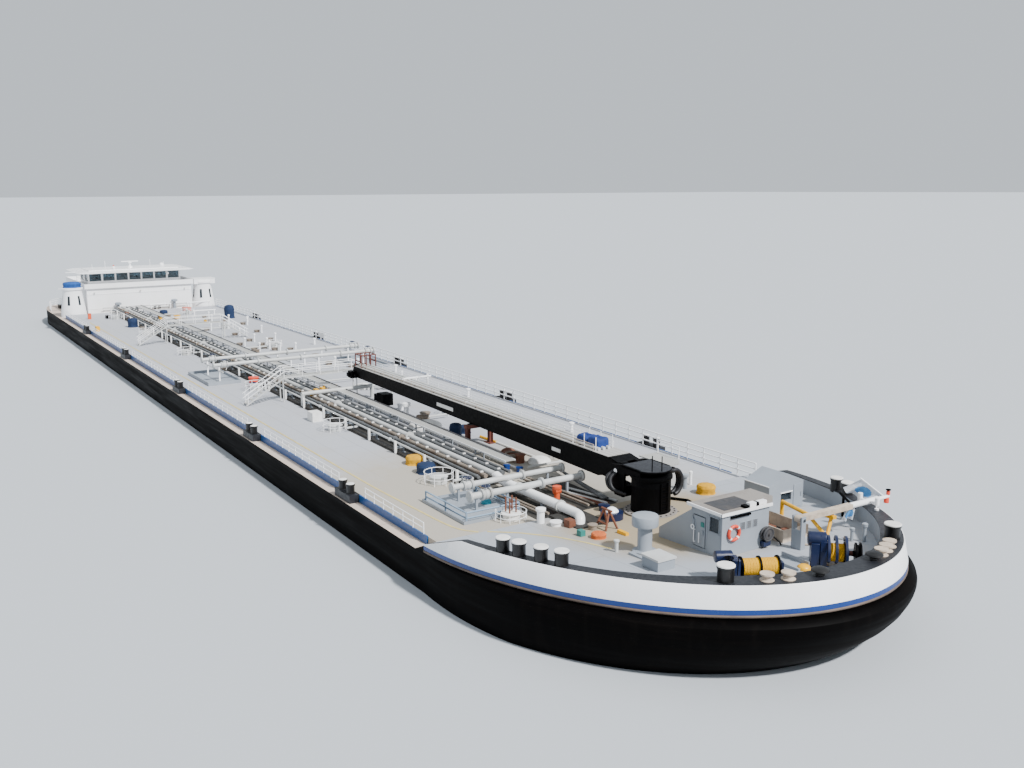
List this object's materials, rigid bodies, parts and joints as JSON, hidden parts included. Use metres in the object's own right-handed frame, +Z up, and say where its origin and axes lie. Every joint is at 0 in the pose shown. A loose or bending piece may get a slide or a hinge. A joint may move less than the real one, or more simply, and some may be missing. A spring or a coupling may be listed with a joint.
{
  "type": "river tank barge, 1:10 scale model",
  "caption": "Long self-propelled river tank barge with a round bow, raised tank deck with pipework, a slewing loading boom, and an aft house with a lifting wheelhouse.",
  "frame": {"origin": "centre of the overall box, at the level of the flat bottom", "axes": "+X to the bow, +Y to port, +Z up"},
  "size_m": [14.8067, 2.294, 1.348],
  "materials": {
    "hull_black": "semi-gloss marine paint",
    "white_paint": "gloss marine paint",
    "stripe_blue": "gloss marine paint",
    "deck_grey": "matt non-slip deck paint",
    "house_grey": "satin marine paint",
    "roof_grey": "matt non-slip deck paint",
    "pipe_grey": "satin marine paint",
    "margin_black": "satin marine paint",
    "strake_brown": "worn satin paint",
    "winch_navy": "gloss marine paint",
    "drum_yellow": "gloss marine paint",
    "crane_black": "gloss marine paint",
    "rest_red": "matt primer paint",
    "rod_chrome": "polished",
    "bronze": "machined",
    "bare_steel": "coated steel",
    "ring_red": "moulded",
    "window_glass": "tinted"
  },
  "bodies": {
    "hull": {"hull": "hull_black", "bow_band": "white_paint", "bow_stripe": "stripe_blue", "rubbing_strake": "strake_brown", "bow_margin_starboard": "margin_black", "bow_margin_port": "margin_black", "foredeck": "house_grey", "fore_vent": "house_grey", "rope_tub": "drum_yellow", "tank_deck": "deck_grey", "side_coaming_starboard": "stripe_blue", "side_coaming_port": "stripe_blue", "pipe_rack": "pipe_grey", "crossover_midship": "pipe_grey", "crossover_aft": "pipe_grey", "manifold_midship": "pipe_grey", "manifold_fore": "pipe_grey", "crane_pedestal": "crane_black", "boom_rest": "rest_red", "fore_house": "house_grey", "fore_house_roof": "roof_grey", "stores_house": "house_grey", "mooring_winch_frame": "winch_navy", "anchor_winch_frame": "winch_navy", "mast_foot": "house_grey", "life_ring": "ring_red", "house_walls": "white_paint", "house_roof": "white_paint", "tower_starboard": "white_paint", "tower_port": "white_paint", "lift_sleeve": "bare_steel", "davit_post": "crane_black", "workboat": "white_paint", "stern_rail": "white_paint", "nozzle_starboard": "bare_steel", "nozzle_port": "bare_steel"},
    "crane_slew": {"slew_head": "crane_black"},
    "crane_boom": {"boom": "crane_black", "boom_eye": "crane_black"},
    "luff_barrel": {"luff_cylinder": "bare_steel"},
    "luff_rod": {"luff_rod": "rod_chrome"},
    "propeller_starboard": {"propeller_starboard": "bronze"},
    "propeller_port": {"propeller_port": "bronze"},
    "rudder_starboard_outer": {"rudder_starboard_outer": "bare_steel"},
    "rudder_starboard_inner": {"rudder_starboard_inner": "bare_steel"},
    "rudder_port_inner": {"rudder_port_inner": "bare_steel"},
    "rudder_port_outer": {"rudder_port_outer": "bare_steel"},
    "mooring_drum": {"mooring_winch_drum": "drum_yellow"},
    "anchor_drum": {"anchor_winch_drum": "winch_navy"},
    "fore_mast": {"fore_mast": "white_paint"},
    "wheelhouse": {"wheelhouse_walls": "white_paint", "wheelhouse_glass": "window_glass", "wheelhouse_roof": "white_paint"},
    "wheelhouse_door": {"wheelhouse_door": "white_paint"},
    "radar_scanner": {"radar_scanner": "white_paint"},
    "fore_house_door": {"fore_house_door": "house_grey"},
    "house_door_starboard": {"house_door_starboard": "white_paint"},
    "house_door_port": {"house_door_port": "white_paint"},
    "davit_arm": {"davit_arm": "crane_black"}
  },
  "joints": [
    {"name": "crane_slew", "type": "hinge", "parent": "hull", "child": "crane_slew", "pos_m": [5.86, 0.115, 0.8753], "axis": [0, 0, 1], "range_deg": [-95, 95]},
    {"name": "crane_luff", "type": "hinge", "parent": "crane_slew", "child": "crane_boom", "pos_m": [5.69, 0.115, 0.885], "axis": [0, 1, 0], "range_deg": [0, 60]},
    {"name": "luff_barrel", "type": "hinge", "parent": "crane_slew", "child": "luff_barrel", "pos_m": [5.72, 0.115, 0.78], "axis": [0, 1, 0], "range_deg": [0, 51.5]},
    {"name": "luff_rod", "type": "slide", "parent": "luff_barrel", "child": "luff_rod", "axis": [-0.9976, 0, 0.0686], "range_m": [0, 0.0768]},
    {"name": "propeller_starboard", "type": "hinge", "parent": "hull", "child": "propeller_starboard", "pos_m": [-6.65, -0.56, 0.125], "axis": [1, 0, 0], "continuous": true},
    {"name": "propeller_port", "type": "hinge", "parent": "hull", "child": "propeller_port", "pos_m": [-6.65, 0.56, 0.125], "axis": [1, 0, 0], "continuous": true},
    {"name": "rudder_port_inner", "type": "hinge", "parent": "hull", "child": "rudder_port_inner", "pos_m": [-6.89, 0.492, 0.3], "axis": [0, 0, 1], "range_deg": [-45, 45]},
    {"name": "rudder_port_outer", "type": "hinge", "parent": "hull", "child": "rudder_port_outer", "pos_m": [-6.89, 0.628, 0.3], "axis": [0, 0, 1], "range_deg": [-45, 45]},
    {"name": "rudder_starboard_inner", "type": "hinge", "parent": "hull", "child": "rudder_starboard_inner", "pos_m": [-6.89, -0.492, 0.3], "axis": [0, 0, 1], "range_deg": [-45, 45]},
    {"name": "rudder_starboard_outer", "type": "hinge", "parent": "hull", "child": "rudder_starboard_outer", "pos_m": [-6.89, -0.628, 0.3], "axis": [0, 0, 1], "range_deg": [-45, 45]},
    {"name": "mooring_winch_drum", "type": "hinge", "parent": "hull", "child": "mooring_drum", "pos_m": [6.94, -0.23, 0.79363], "axis": [0.4587, 0.8886, 0], "continuous": true},
    {"name": "anchor_winch_drum", "type": "hinge", "parent": "hull", "child": "anchor_drum", "pos_m": [7.05, 0.19, 0.80495], "axis": [0.7071, 0.7071, 0], "continuous": true},
    {"name": "fore_mast", "type": "hinge", "parent": "hull", "child": "fore_mast", "pos_m": [6.778, 0.24, 0.875], "axis": [1, 0, 0], "range_deg": [0, 90]},
    {"name": "wheelhouse_lift", "type": "slide", "parent": "hull", "child": "wheelhouse", "axis": [0, 0, 1], "range_m": [0, 0.22]},
    {"name": "wheelhouse_door", "type": "hinge", "parent": "wheelhouse", "child": "wheelhouse_door", "pos_m": [-6.4945, 0.045, 1.05], "axis": [0, 0, -1], "range_deg": [0, 100]},
    {"name": "radar_scanner", "type": "hinge", "parent": "wheelhouse", "child": "radar_scanner", "pos_m": [-6.15, 0, 1.33], "axis": [0, 0, 1], "continuous": true},
    {"name": "fore_house_door", "type": "hinge", "parent": "hull", "child": "fore_house_door", "pos_m": [6.475, -0.1495, 0.8], "axis": [0, 0, -1], "range_deg": [0, 100]},
    {"name": "house_door_starboard", "type": "hinge", "parent": "hull", "child": "house_door_starboard", "pos_m": [-6.32, -0.7445, 0.74], "axis": [0, 0, -1], "range_deg": [0, 100]},
    {"name": "house_door_port", "type": "hinge", "parent": "hull", "child": "house_door_port", "pos_m": [-6.32, 0.7445, 0.74], "axis": [0, 0, 1], "range_deg": [0, 100]},
    {"name": "davit_slew", "type": "hinge", "parent": "hull", "child": "davit_arm", "pos_m": [-7.23, -0.64, 0.86], "axis": [0, 0, 1], "range_deg": [0, 180]}
  ],
  "couplings": [
    {"joint": "luff_barrel", "follows": "crane_luff", "ratio": 0.8565},
    {"joint": "luff_rod", "follows": "crane_luff", "m_per_rad": 0.07324},
    {"joint": "rudder_port_outer", "follows": "rudder_port_inner", "ratio": 1},
    {"joint": "rudder_starboard_inner", "follows": "rudder_port_inner", "ratio": 1},
    {"joint": "rudder_starboard_outer", "follows": "rudder_port_inner", "ratio": 1}
  ]
}
